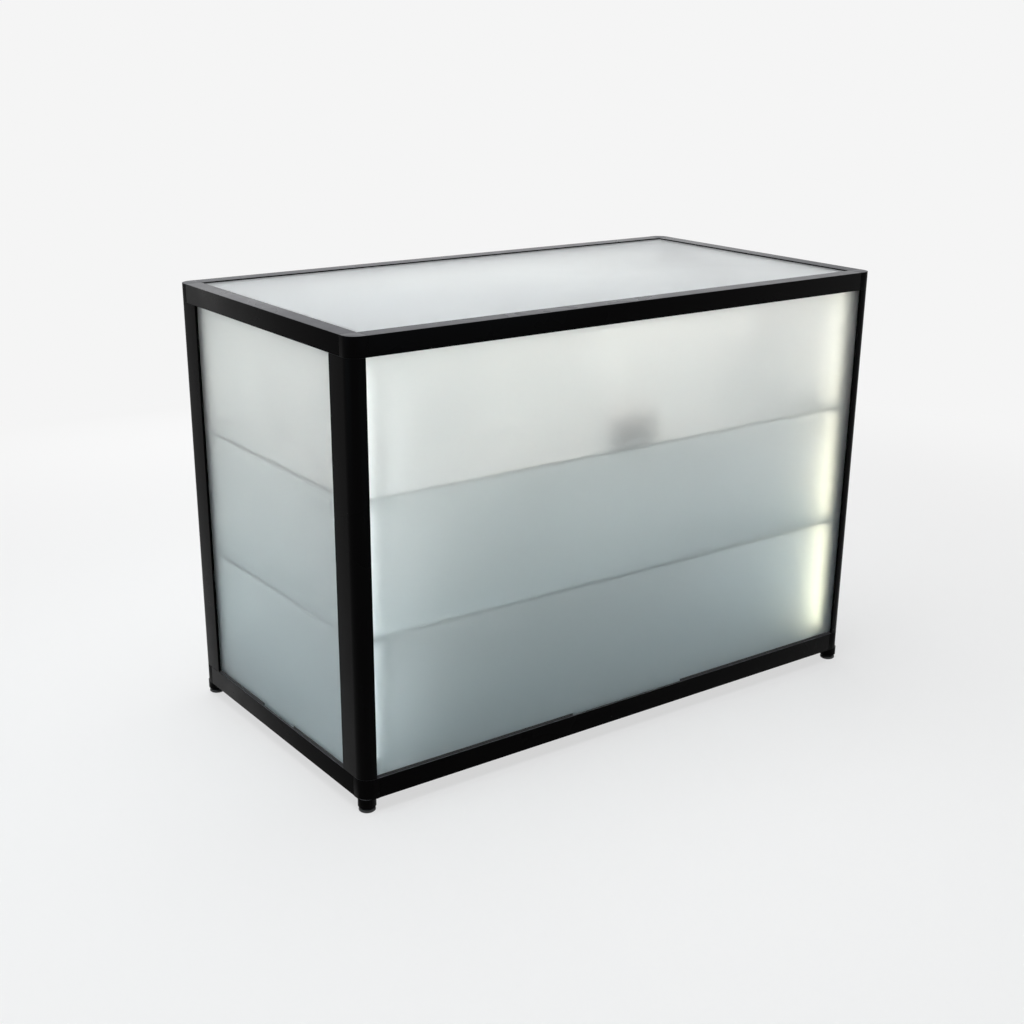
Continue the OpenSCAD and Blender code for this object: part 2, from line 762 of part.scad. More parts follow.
// Milky cover that closes a light channel
module light_cover(sx) {
    half = light_w / 2 - channel_wall - seat / 2;
    cover_t = 1;
    rise = 0.4;
    bevel = 2;
    color("#fbf7e6") up_post(sx) polygon([
        [light_t - cover_t, -half], [light_t, -half], [light_t + rise, -half + bevel],
        [light_t + rise, half - bevel], [light_t, half], [light_t - cover_t, half]
    ]);
}

// Control box of the light, set back on the upper shelf: ribbed housing on a plate with
// two screw ears
module control_box() {
    front_gap = 40;
    x_mid = 30;
    rib_t = 1.5;
    rib_w = 3;
    rib_end = 6;
    rib_count = 9;
    ear = 14;
    ear_t = 3;
    ear_hole_d = 4.5;
    corner_r = 4;
    x = box_w / 2;
    y = box_d / 2;
    y_mid = -counter_d / 2 + panel_setback + panel_t + shelf_front_gap + front_gap + y;
    rib_pitch = box_w / (rib_count + 1);
    color("#7d8082") translate([x_mid, y_mid, shelf_high_z + seat / 2]) difference() {
        union() {
            linear_extrude(box_h) round_rect(-x, -y + rib_t, x, y - rib_t, corner_r);
            for (k = [1 : rib_count]) translate([-x + k * rib_pitch, 0, 0])
                block(-rib_w / 2, -y, rib_end, rib_w / 2, y, box_h - rib_end);
            linear_extrude(ear_t) round_rect(-x - ear, -y / 2, x + ear, y / 2, corner_r);
        }
        for (k = [0, 1]) mirror([k, 0, 0]) translate([x + ear / 2, 0, -e])
            cylinder(d = ear_hole_d, h = ear_t + 2 * e);
    }
}

// Rubber grommet where the mains cable passes through the floor panel
module cable_grommet() {
    r = grommet_hole / 2 - seat;
    lip = r + 3;
    lip_t = 2;
    ease = 1;
    bore = grommet_d / 2;
    color("#101010") translate([grommet_x, grommet_y, floor_low_z]) rotate_extrude() polygon([
        [bore, -lip_t], [lip, -lip_t], [lip, 0], [r, 0], [r, floor_t], [lip, floor_t],
        [lip - ease, floor_t + lip_t], [bore, floor_t + lip_t]
    ]);
}

for (c = CORNERS) {
    post(c[1], c[2]);
    top_block(c[1], c[2]);
    bottom_block(c[1], c[2]);
    foot(c[1], c[2]);
}
for (s = SIDES) {
    top_rail(s);
    bottom_rail(s);
}
side_panel(SIDES[0]);  // front_panel
side_panel(SIDES[3]);  // left_panel
side_panel(SIDES[1]);  // right_panel
top_glass();
bead(SIDES[0]);  // front_bead
bead(SIDES[3]);  // left_bead
bead(SIDES[1]);  // right_bead
floor_panel();
shelf(shelf_low_z);  // lower_shelf
shelf(shelf_high_z);  // upper_shelf
shelf_brackets();
door_track_top();
door_track_bottom();
for (d = DOORS) {
    door_glass(d);
    door_shoe(d);
    roller_axles(d);
    finger_cup(d);
    for (k = [0, 1]) roller(d, k);
}
lock_barrel();
lock_plunger();
lock_strike();
light_channel(-1);  // light_channel_left
light_channel(1);  // light_channel_right
light_strip(-1);  // light_strip_left
light_strip(1);  // light_strip_right
light_cover(-1);  // light_cover_left
light_cover(1);  // light_cover_right
control_box();
cable_grommet();
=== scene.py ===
"""Looks of a glass display counter with a black frame, frosted panels and sliding doors.

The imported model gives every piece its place. Each sub-assembly is a class that holds its
sizes in metres, models what the solids leave plain and dresses its pieces. Each finish is
a small class that makes one procedural material on Object coordinates.
"""

from __future__ import annotations

import json
import logging
import math
from dataclasses import dataclass
from enum import Enum

import bpy
from mathutils import Matrix, Vector

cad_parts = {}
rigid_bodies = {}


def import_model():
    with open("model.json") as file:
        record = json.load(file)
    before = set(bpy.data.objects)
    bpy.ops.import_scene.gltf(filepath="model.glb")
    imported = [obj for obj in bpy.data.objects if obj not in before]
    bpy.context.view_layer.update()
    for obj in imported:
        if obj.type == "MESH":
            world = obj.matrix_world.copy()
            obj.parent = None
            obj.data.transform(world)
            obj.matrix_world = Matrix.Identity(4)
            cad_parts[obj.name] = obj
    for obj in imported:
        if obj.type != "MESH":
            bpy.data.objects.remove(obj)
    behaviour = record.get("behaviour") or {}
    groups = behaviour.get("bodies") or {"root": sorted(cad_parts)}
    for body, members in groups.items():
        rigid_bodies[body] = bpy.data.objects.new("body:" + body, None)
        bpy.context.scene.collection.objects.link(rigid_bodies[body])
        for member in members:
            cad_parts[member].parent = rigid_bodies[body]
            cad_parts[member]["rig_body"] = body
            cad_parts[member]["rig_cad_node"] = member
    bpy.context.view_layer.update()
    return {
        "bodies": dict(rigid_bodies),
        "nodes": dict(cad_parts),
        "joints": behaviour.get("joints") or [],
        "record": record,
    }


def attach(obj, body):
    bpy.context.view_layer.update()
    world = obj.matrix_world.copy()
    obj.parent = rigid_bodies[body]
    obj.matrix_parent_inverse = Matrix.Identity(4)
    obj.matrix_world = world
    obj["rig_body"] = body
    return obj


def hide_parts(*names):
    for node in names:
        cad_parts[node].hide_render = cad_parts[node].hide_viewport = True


LOG = logging.getLogger("display_counter")

Colour = tuple[float, float, float]
Place = tuple[float, float, float]
Span = tuple[float, float]

BLACK = (0.0, 0.0, 0.0)
WHITE = (1.0, 1.0, 1.0)
PLASTIC_IOR = 1.46

CORNERS = ("front_left", "front_right", "back_left", "back_right")
SIDES = ("front", "right", "back", "left")
GLAZED_SIDES = ("front", "left", "right")
HANDS = ("left", "right")


class Rays(Enum):
    """The rays that see the plain background."""

    CAMERA = "Is Camera Ray"
    GLOSSY = "Is Glossy Ray"
    TRANSMISSION = "Is Transmission Ray"


# Shader building


def scaled(colour: Colour, factor: float, lift: float = 0.0) -> Colour:
    """Makes a colour paler or darker.

    Args:
        colour: The colour.
        factor: What each part is multiplied by.
        lift: What is added to each part.

    Returns:
        The new colour, with no part above 1.
    """
    return tuple(min(1.0, part * factor + lift) for part in colour)


class Shading:
    """A node tree being built, with short calls for its nodes and links."""

    MIX_FACTOR = 0
    MIX_FIRST = 6
    MIX_SECOND = 7
    MIX_RESULT = 2

    def __init__(self, tree: bpy.types.NodeTree) -> None:
        """Keeps the tree.

        Args:
            tree: The node tree of a material, world or group.
        """
        self.tree = tree

    def node(self, kind: str, **settings: object) -> bpy.types.Node:
        """Adds a node.

        Args:
            kind: The node's type name.
            settings: Properties to set on it.

        Returns:
            The new node.
        """
        made = self.tree.nodes.new(kind)
        for name, value in settings.items():
            setattr(made, name, value)
        return made

    def found(self, kind: str) -> bpy.types.Node:
        """Returns the tree's first node of a type.

        Args:
            kind: The node's type, as its type property gives it.
        """
        return next(n for n in self.tree.nodes if n.type == kind)

    def link(self, source: bpy.types.NodeSocket, target: bpy.types.NodeSocket) -> None:
        """Links one socket to another."""
        self.tree.links.new(source, target)

    def feed(self, value: object, socket: bpy.types.NodeSocket) -> None:
        """Links a socket, or sets a number or colour."""
        if isinstance(value, bpy.types.NodeSocket):
            self.link(value, socket)
        elif isinstance(value, tuple) and socket.type == "RGBA":
            socket.default_value = (*value, 1.0)
        else:
            socket.default_value = value

    def math(self, operation: str, first: object, second: object = 0.0) -> bpy.types.NodeSocket:
        """Adds a Math node.

        Args:
            operation: Its operation.
            first: A socket or a number.
            second: A socket or a number.

        Returns:
            The result's socket.
        """
        made = self.node("ShaderNodeMath", operation=operation)
        for socket, value in zip(made.inputs, (first, second)):
            self.feed(value, socket)
        return made.outputs[0]

    def object_place(self) -> bpy.types.NodeSocket:
        """Returns the Object coordinates."""
        return self.node("ShaderNodeTexCoord").outputs["Object"]

    def object_normal(self) -> bpy.types.NodeSocket:
        """Returns the normal in Object coordinates."""
        return self.node("ShaderNodeTexCoord").outputs["Normal"]

    def along(self, axis: str, vector: bpy.types.NodeSocket) -> bpy.types.NodeSocket:
        """Takes one component of a vector.

        Args:
            axis: X, Y or Z.
            vector: The vector.

        Returns:
            The component's socket.
        """
        split = self.node("ShaderNodeSeparateXYZ")
        self.link(vector, split.inputs[0])
        return split.outputs[axis]

    def stretched(self, scale: Place) -> bpy.types.NodeSocket:
        """Returns Object coordinates scaled along each axis.

        Args:
            scale: The factors along X, Y and Z.
        """
        mapping = self.node("ShaderNodeMapping")
        mapping.inputs["Scale"].default_value = scale
        self.link(self.object_place(), mapping.inputs["Vector"])
        return mapping.outputs["Vector"]

    def noise(self, place: bpy.types.NodeSocket, scale: object, detail: float,
              roughness: float) -> bpy.types.NodeSocket:
        """Adds a Noise texture.

        Args:
            place: The coordinates it reads.
            scale: Its scale, a number or a socket.
            detail: Its octaves.
            roughness: The weight of the fine octaves.

        Returns:
            The noise value's socket.
        """
        made = self.node("ShaderNodeTexNoise")
        self.link(place, made.inputs["Vector"])
        self.feed(scale, made.inputs["Scale"])
        made.inputs["Detail"].default_value = detail
        made.inputs["Roughness"].default_value = roughness
        return made.outputs["Fac"]

    def between(self, value: bpy.types.NodeSocket, span: Span,
                result: Span = (0.0, 1.0)) -> bpy.types.NodeSocket:
        """Maps a value's span to another one, with a smooth step and no overshoot.

        Args:
            value: The value.
            span: Where the span starts and ends.
            result: The result at its start and at its end.

        Returns:
            The result's socket.
        """
        made = self.node("ShaderNodeMapRange", interpolation_type="SMOOTHSTEP")
        self.link(value, made.inputs["Value"])
        for name, number in zip(("From Min", "From Max", "To Min", "To Max"), (*span, *result)):
            made.inputs[name].default_value = number
        return made.outputs["Result"]

    def mixed(self, mask: object, first: object, second: object) -> bpy.types.NodeSocket:
        """Mixes two colours by a mask.

        Args:
            mask: A socket or a number, 0 for the first colour.
            first: A colour or its socket.
            second: A colour or its socket.

        Returns:
            The colour's socket.
        """
        made = self.node("ShaderNodeMix", data_type="RGBA")
        self.feed(mask, made.inputs[self.MIX_FACTOR])
        self.feed(first, made.inputs[self.MIX_FIRST])
        self.feed(second, made.inputs[self.MIX_SECOND])
        return made.outputs[self.MIX_RESULT]

    def group(self, tree: bpy.types.NodeTree, **values: object) -> bpy.types.Node:
        """Places a shared group with its own values.

        Args:
            tree: The group.
            values: What to feed its inputs, with underscores for spaces.

        Returns:
            The group node.
        """
        made = self.node("ShaderNodeGroup", node_tree=tree)
        for name, value in values.items():
            self.feed(value, made.inputs[name.replace("_", " ")])
        return made


class Groups:
    """The effects that several materials share, each built once."""

    BLOTCH_CONTRAST = (0.3, 0.7)
    # The faces that look up take dust and a painted sheen, in patches that cover them nearly evenly.
    LOOKS_UP = (0.6, 1.0)
    PATCH_CONTRAST = (0.35, 0.75)
    PATCH_COVER = (0.84, 1.0)
    LINE_STRETCH = (0.02, 1.0, 1.0)

    _made: dict[str, bpy.types.NodeTree] = {}

    @classmethod
    def _begin(cls, name: str, inputs: tuple[str, ...],
               outputs: tuple[str, ...]) -> tuple[Shading, bpy.types.Node, bpy.types.Node]:
        """Starts a group.

        Args:
            name: The group's name.
            inputs: Its inputs.
            outputs: Its outputs.

        Returns:
            The tree's builder, its input node and its output node.
        """
        tree = bpy.data.node_groups.new(name, "ShaderNodeTree")
        for way, labels in (("INPUT", inputs), ("OUTPUT", outputs)):
            for label in labels:
                tree.interface.new_socket(name=label, in_out=way, socket_type="NodeSocketFloat")
        cls._made[name] = tree
        build = Shading(tree)
        return build, build.node("NodeGroupInput"), build.node("NodeGroupOutput")

    @classmethod
    def grain(cls) -> bpy.types.NodeTree:
        """Returns the fine grain of a coated, moulded or ground surface, and its slow blotches."""
        if "surface grain" not in cls._made:
            build, given, result = cls._begin(
                "surface grain", ("Scale", "Blotch Scale"), ("Height", "Blotch"))
            place = build.object_place()
            fine = build.noise(place, given.outputs["Scale"], detail=4.0, roughness=0.6)
            build.link(fine, result.inputs["Height"])
            blotch = build.noise(place, given.outputs["Blotch Scale"], detail=3.0, roughness=0.5)
            build.link(build.between(blotch, cls.BLOTCH_CONTRAST), result.inputs["Blotch"])
        return cls._made["surface grain"]

    @classmethod
    def dust_and_sheen(cls) -> bpy.types.NodeTree:
        """Returns a mask of settled dust and painted sheen on faces that look up."""
        if "settled dust" not in cls._made:
            build, given, result = cls._begin("settled dust", ("Scale", "Amount"), ("Mask",))
            upward = build.between(build.along("Z", build.object_normal()), cls.LOOKS_UP)
            patches = build.noise(build.object_place(), given.outputs["Scale"], detail=5.0, roughness=0.65)
            cover = build.between(patches, cls.PATCH_CONTRAST, cls.PATCH_COVER)
            # Dust and painted sheen on the faces that look up.
            settled = build.math("MULTIPLY", upward, cover)
            build.link(build.math("MULTIPLY", settled, given.outputs["Amount"]), result.inputs["Mask"])
        return cls._made["settled dust"]

    @classmethod
    def drawn_lines(cls) -> bpy.types.NodeTree:
        """Returns the fine lines that drawing or brushing leaves along X."""
        if "drawn lines" not in cls._made:
            build, given, result = cls._begin("drawn lines", ("Fineness",), ("Height",))
            place = build.stretched(cls.LINE_STRETCH)
            lines = build.noise(place, given.outputs["Fineness"], detail=2.0, roughness=0.5)
            build.link(lines, result.inputs["Height"])
        return cls._made["drawn lines"]


@dataclass(frozen=True)
class Grain:
    """A fine grain for the bump, and slow blotches that change the roughness.

    Attributes:
        scale: The grain's noise scale.
        blotch_scale: The blotches' noise scale.
        depth: How far the grain reaches, in metres.
        weight: The grain's weight in the bump.
        smoother: How far the roughness falls between the blotches.
        rougher: How far it rises in them.
    """

    scale: float
    blotch_scale: float
    depth: float
    weight: float
    smoother: float
    rougher: float


@dataclass(frozen=True)
class DustAndSheen:
    """Dust settled in patches on faces that look up; on the powder coat it is mostly a painted sheen.

    Attributes:
        colour: Its colour.
        amount: How much of the surface's colour it hides, up to 1.
        scale: The patches' noise scale.
    """

    colour: Colour
    amount: float
    scale: float


class Material(Shading):
    """A material with one Principled shader."""

    def __init__(self, name: str, **values: object) -> None:
        """Makes the material.

        Args:
            name: The material's name.
            values: What to feed the shader's inputs, with underscores for spaces.
        """
        self.block = bpy.data.materials.new(name)
        self.block.use_nodes = True
        super().__init__(self.block.node_tree)
        self.shader = self.found("BSDF_PRINCIPLED")
        self.set(**values)

    def set(self, **values: object) -> None:
        """Feeds the shader's inputs, named with underscores for spaces."""
        for name, value in values.items():
            self.feed(value, self.shader.inputs[name.replace("_", " ")])

    def bump(self, height: bpy.types.NodeSocket, depth: float, weight: float) -> None:
        """Feeds a height to the normal through a Bump node.

        Args:
            height: The height's socket.
            depth: How far the height reaches, in metres.
            weight: The weight of the effect.
        """
        made = self.node("ShaderNodeBump")
        made.inputs["Distance"].default_value = depth
        made.inputs["Strength"].default_value = weight
        self.link(height, made.inputs["Height"])
        self.link(made.outputs["Normal"], self.shader.inputs["Normal"])

    def blotches(self, scale: float) -> bpy.types.NodeSocket:
        """Returns a mask of slow blotches.

        Args:
            scale: Their noise scale.
        """
        return self.group(Groups.grain(), Blotch_Scale=scale).outputs["Blotch"]

    def grained(self, grain: Grain, roughness: float) -> bpy.types.NodeSocket:
        """Gives the surface its bump and its roughness.

        Args:
            grain: The surface's grain.
            roughness: The roughness that the blotches change.

        Returns:
            The blotches' mask.
        """
        made = self.group(Groups.grain(), Scale=grain.scale, Blotch_Scale=grain.blotch_scale)
        blotch = made.outputs["Blotch"]
        change = (roughness - grain.smoother, roughness + grain.rougher)
        self.set(Roughness=self.between(blotch, (0.0, 1.0), change))
        self.bump(made.outputs["Height"], grain.depth, grain.weight)
        return blotch

    def dusted_and_sheened(self, base: object, dust_and_sheen: DustAndSheen) -> None:
        """Gives the surface its colour, with dust and painted sheen where it looks up.

        Args:
            base: The clean surface's colour or its socket.
            dust_and_sheen: The dust, which on the powder coat is mostly a painted sheen.
        """
        made = self.group(Groups.dust_and_sheen(), Scale=dust_and_sheen.scale, Amount=dust_and_sheen.amount)
        self.set(Base_Color=self.mixed(made.outputs["Mask"], base, dust_and_sheen.colour))


# Finishes


@dataclass(frozen=True)
class PowderCoat:
    """Satin powder coat on aluminium: a fine orange peel, and a mid grey on the faces that look up, which is
    mostly a painted sheen and partly settled dust.
    """

    name: str
    roughness: float = 0.3
    colour: Colour = (0.0012, 0.001, 0.0011)
    ior: float = 1.5
    specular: float = 0.02
    grain: Grain = Grain(scale=1400.0, blotch_scale=6.0, depth=0.00012, weight=0.35, smoother=0.04,
                         rougher=0.05)
    # Mid grey on the faces that look up: mostly a painted sheen, partly dust.
    dust_and_sheen: DustAndSheen = DustAndSheen(colour=(0.12, 0.118, 0.123), amount=0.9, scale=26.0)

    def make(self) -> bpy.types.Material:
        """Returns the material."""
        made = Material(self.name, IOR=self.ior, Specular_IOR_Level=self.specular)
        made.grained(self.grain, self.roughness)
        made.dusted_and_sheened(self.colour, self.dust_and_sheen)
        return made.block


@dataclass(frozen=True)
class FrostedGlass:
    """Acid-etched glass that scatters what lies behind it.

    Attributes:
        painted_shade_tint: The darker, bluer tint of the lower part, a painted shade, where one is given.
        painted_shade_span: The heights between which the painted shade fades into the tint, in metres.
        paler: How much paler the blotches are.
    """

    name: str
    tint: Colour
    roughness: float = 0.7
    transmission: float = 0.97
    specular: float = 0.5
    painted_shade_tint: Colour | None = None
    painted_shade_span: Span = (0.1, 0.8)
    ior: float = 1.45
    paler: float = 1.04
    grain: Grain = Grain(scale=2600.0, blotch_scale=3.5, depth=0.00005, weight=0.15, smoother=0.02,
                         rougher=0.02)

    def make(self) -> bpy.types.Material:
        """Returns the material."""
        made = Material(self.name, IOR=self.ior, Transmission_Weight=self.transmission,
                        Specular_IOR_Level=self.specular)
        blotch = made.grained(self.grain, self.roughness)
        colour = made.mixed(blotch, self.tint, scaled(self.tint, self.paler))
        # The lower part is painted darker and bluer: a painted shade, as if less light reached the foot.
        if self.painted_shade_tint:
            height = made.between(made.along("Z", made.object_place()), self.painted_shade_span)
            colour = made.mixed(height, self.painted_shade_tint, colour)
        made.set(Base_Color=colour)
        return made.block


@dataclass(frozen=True)
class SheetGlass:
    """Satin shelf glass with ground edges, nearly black at its ends.

    Attributes:
        face_span: How upright the normal is, from an edge's to a face's.
        face_roughness: The roughness between the blotches and in them.
    """

    name: str
    face: Colour = (0.78, 0.87, 0.90)
    end_edge: Colour = (0.003, 0.01, 0.01)
    front_edge: Colour = (0.24, 0.32, 0.32)
    transmission: float = 0.88
    ior: float = 1.5
    face_span: Span = (0.5, 0.9)
    blotch_scale: float = 5.0
    face_roughness: Span = (0.16, 0.22)
    edge_roughness: float = 0.35

    def make(self) -> bpy.types.Material:
        """Returns the material."""
        made = Material(self.name, IOR=self.ior, Transmission_Weight=self.transmission)
        normal = made.object_normal()
        side = made.between(made.math("ABSOLUTE", made.along("Z", normal)), self.face_span, (1.0, 0.0))
        at_end = made.math("ABSOLUTE", made.along("X", normal))
        edge = made.mixed(at_end, self.front_edge, self.end_edge)
        smear = made.between(made.blotches(self.blotch_scale), (0.0, 1.0), self.face_roughness)
        ground = made.math("MULTIPLY", side, self.edge_roughness)
        made.set(Base_Color=made.mixed(side, self.face, edge), Roughness=made.math("MAXIMUM", smear, ground))
        return made.block


@dataclass(frozen=True)
class Moulded:
    """Moulded plastic or rubber with a fine spark-eroded grain."""

    name: str
    colour: Colour
    roughness: float = 0.5
    grain_weight: float = 0.3
    grain_scale: float = 1100.0
    dust_and_sheen: float = 0.2
    dust_colour: Colour = (0.28, 0.27, 0.26)
    dust_scale: float = 40.0
    blotch_scale: float = 12.0
    paler: float = 1.12
    lift: float = 0.004
    depth: float = 0.0002
    smoother: float = 0.05
    rougher: float = 0.06

    def make(self) -> bpy.types.Material:
        """Returns the material."""
        made = Material(self.name, IOR=PLASTIC_IOR)
        grain = Grain(scale=self.grain_scale, blotch_scale=self.blotch_scale, depth=self.depth,
                      weight=self.grain_weight, smoother=self.smoother, rougher=self.rougher)
        blotch = made.grained(grain, self.roughness)
        base = made.mixed(blotch, self.colour, scaled(self.colour, self.paler, self.lift))
        made.dusted_and_sheened(base, DustAndSheen(colour=self.dust_colour, amount=self.dust_and_sheen, scale=self.dust_scale))
        return made.block


@dataclass(frozen=True)
class Metal:
    """Bare or plated metal with drawn lines.

    Attributes:
        line_weight: The lines' weight in the bump.
        line_span: The lines' heights between which the roughness changes.
        depth: How far the lines reach, in metres.
        darker: How much darker the blotches are.
    """

    name: str
    colour: Colour
    roughness: float = 0.3
    line_weight: float = 0.2
    fineness: float = 1900.0
    line_span: Span = (0.3, 0.7)
    depth: float = 0.00006
    blotch_scale: float = 14.0
    darker: float = 0.86
    smoother: float = 0.06
    rougher: float = 0.08

    def make(self) -> bpy.types.Material:
        """Returns the material."""
        made = Material(self.name, Metallic=1.0)
        lines = made.group(Groups.drawn_lines(), Fineness=self.fineness).outputs["Height"]
        blotch = made.blotches(self.blotch_scale)
        change = (self.roughness - self.smoother, self.roughness + self.rougher)
        made.set(Base_Color=made.mixed(blotch, self.colour, scaled(self.colour, self.darker)),
                 Roughness=made.between(lines, self.line_span, change))
        made.bump(lines, self.depth, self.line_weight)
        return made.block


@dataclass(frozen=True)
class Board:
    """Laminated board with a faint pearl texture."""

    name: str
    colour: Colour = (0.03, 0.045, 0.055)
    roughness: float = 0.47
    paler: float = 1.06
    grain: Grain = Grain(scale=700.0, blotch_scale=4.0, depth=0.0002, weight=0.25, smoother=0.05,
                         rougher=0.05)

    def make(self) -> bpy.types.Material:
        """Returns the material."""
        made = Material(self.name, IOR=PLASTIC_IOR)
        blotch = made.grained(self.grain, self.roughness)
        made.set(Base_Color=made.mixed(blotch, self.colour, scaled(self.colour, self.paler)))
        return made.block


@dataclass(frozen=True)
class Glow:
    """Milky diffuser that gives a soft light, warmer and stronger towards its foot.

    Attributes:
        low_light: The light's colour at the foot.
        high_light: Its colour at the head, which makes it dimmer too.
        light_span: The heights between which the light changes, in metres.
    """

    name: str
    colour: Colour = (0.93, 0.90, 0.80)
    low_light: Colour = (1.0, 0.89, 0.63)
    high_light: Colour = (0.375, 0.37, 0.31)
    light_span: Span = (0.15, 0.9)
    strength: float = 11.0
    roughness: float = 0.45
    wave_stretch: Place = (1.0, 1.0, 0.4)
    wave_scale: float = 60.0
    wave_depth: float = 0.0002
    wave_weight: float = 0.1

    def make(self) -> bpy.types.Material:
        """Returns the material."""
        made = Material(self.name, Base_Color=self.colour, Roughness=self.roughness,
                        Emission_Strength=self.strength)
        height = made.between(made.along("Z", made.object_place()), self.light_span)
        made.set(Emission_Color=made.mixed(height, self.low_light, self.high_light))
        place = made.stretched(self.wave_stretch)
        waves = made.noise(place, self.wave_scale, detail=2.0, roughness=0.5)
        made.bump(waves, self.wave_depth, self.wave_weight)
        return made.block


@dataclass(frozen=True)
class LampTape:
    """White circuit tape whose lamps are a warm yellow.

    Attributes:
        pitch: The distance from lamp to lamp, in metres.
        start: The height at which the first pitch starts, in metres.
        lamp_middle: Where in its pitch a lamp stands.
        lamp_span: Where in the pitch a lamp's edge runs, from its middle.
    """

    name: str
    pitch: float = 0.025
    start: float = 0.09
    lamp_middle: float = 0.5
    lamp_span: Span = (0.09, 0.11)
    tape_colour: Colour = (0.78, 0.78, 0.75)
    lamp_colour: Colour = (0.85, 0.68, 0.22)
    light: Colour = (1.0, 0.86, 0.55)
    strength: float = 0.6
    roughness: float = 0.4
    grain_scale: float = 900.0
    depth: float = 0.0001
    weight: float = 0.15

    def make(self) -> bpy.types.Material:
        """Returns the material."""
        made = Material(self.name, IOR=PLASTIC_IOR, Roughness=self.roughness, Emission_Strength=self.strength)
        height = made.math("SUBTRACT", made.along("Z", made.object_place()), self.start)
        turn = made.math("FRACT", made.math("DIVIDE", height, self.pitch))
        from_lamp = made.math("ABSOLUTE", made.math("SUBTRACT", turn, self.lamp_middle))
        lamp = made.between(from_lamp, self.lamp_span, (1.0, 0.0))
        made.set(Base_Color=made.mixed(lamp, self.tape_colour, self.lamp_colour),
                 Emission_Color=made.mixed(lamp, BLACK, self.light))
        grain = made.noise(made.object_place(), self.grain_scale, detail=3.0, roughness=0.55)
        made.bump(grain, self.depth, self.weight)
        return made.block


class Finishes:
    """Every finish of the counter, by the name of the record's material slot."""

    def __init__(self) -> None:
        """Makes the materials."""
        makers = {
            # The powder coat's faces that look up are painted mid grey: mostly a painted sheen, partly dust.
            "black_frame": PowderCoat("black powder coat"),
            "black_block": PowderCoat("black powder coat on castings", roughness=0.37),
            # The frosted panels get a painted shade towards their foot.
            "frosted_glass": FrostedGlass("frosted side glass", (0.875, 0.885, 0.875),
                                          painted_shade_tint=(0.775, 0.85, 0.865)),
            "white_glass": FrostedGlass("satin top glass", (0.725, 0.74, 0.745), roughness=0.35,
                                        transmission=0.8, specular=0.3),
            "door_glass": FrostedGlass("frosted door glass", (0.865, 0.895, 0.885), roughness=0.8,
                                       transmission=0.5),
            "shelf_glass": SheetGlass("satin shelf glass"),
            "black_rubber": Moulded("black rubber", (0.008, 0.008, 0.009), roughness=0.62,
                                    grain_weight=0.25, grain_scale=700.0, dust_and_sheen=0.1),
            "dark_board": Board("laminated floor board"),
            "plated_steel": Metal("zinc-plated steel", (0.56, 0.57, 0.58), roughness=0.33),
            "plain_aluminium": Metal("anodised aluminium", (0.62, 0.63, 0.65), line_weight=0.3),
            "black_plastic": Moulded("black plastic", (0.012, 0.012, 0.013), roughness=0.45),
            "grey_plastic": Moulded("grey plastic", (0.27, 0.275, 0.28)),
            "foot_plastic": Moulded("foot plastic", (0.007, 0.007, 0.007), roughness=0.4,
                                    grain_weight=0.2, grain_scale=800.0, dust_and_sheen=0.05),
            "white_nylon": Moulded("natural nylon", (0.76, 0.75, 0.70), roughness=0.42,
                                   grain_weight=0.1, grain_scale=500.0, dust_and_sheen=0.05),
            "lock_metal": Metal("nickel plate", (0.70, 0.69, 0.66), roughness=0.16, line_weight=0.08),
            "lamp_strip": LampTape("lamp tape"),
            "milky_cover": Glow("milky diffuser"),
        }
        self.by_slot = {slot: maker.make() for slot, maker in makers.items()}

    def dress(self, piece: bpy.types.Object, slot: str) -> None:
        """Puts a finish on a piece.

        Args:
            piece: The piece.
            slot: The name of the record's material slot.
        """
        piece.data.materials.clear()
        piece.data.materials.append(self.by_slot[slot])


# Modelling


def deselect_all() -> None:
    """Leaves nothing selected."""
    bpy.ops.object.select_all(action="DESELECT")


def make_active(piece: bpy.types.Object) -> None:
    """Selects one piece alone and makes it active."""
    deselect_all()
    piece.select_set(True)
    bpy.context.view_layer.objects.active = piece


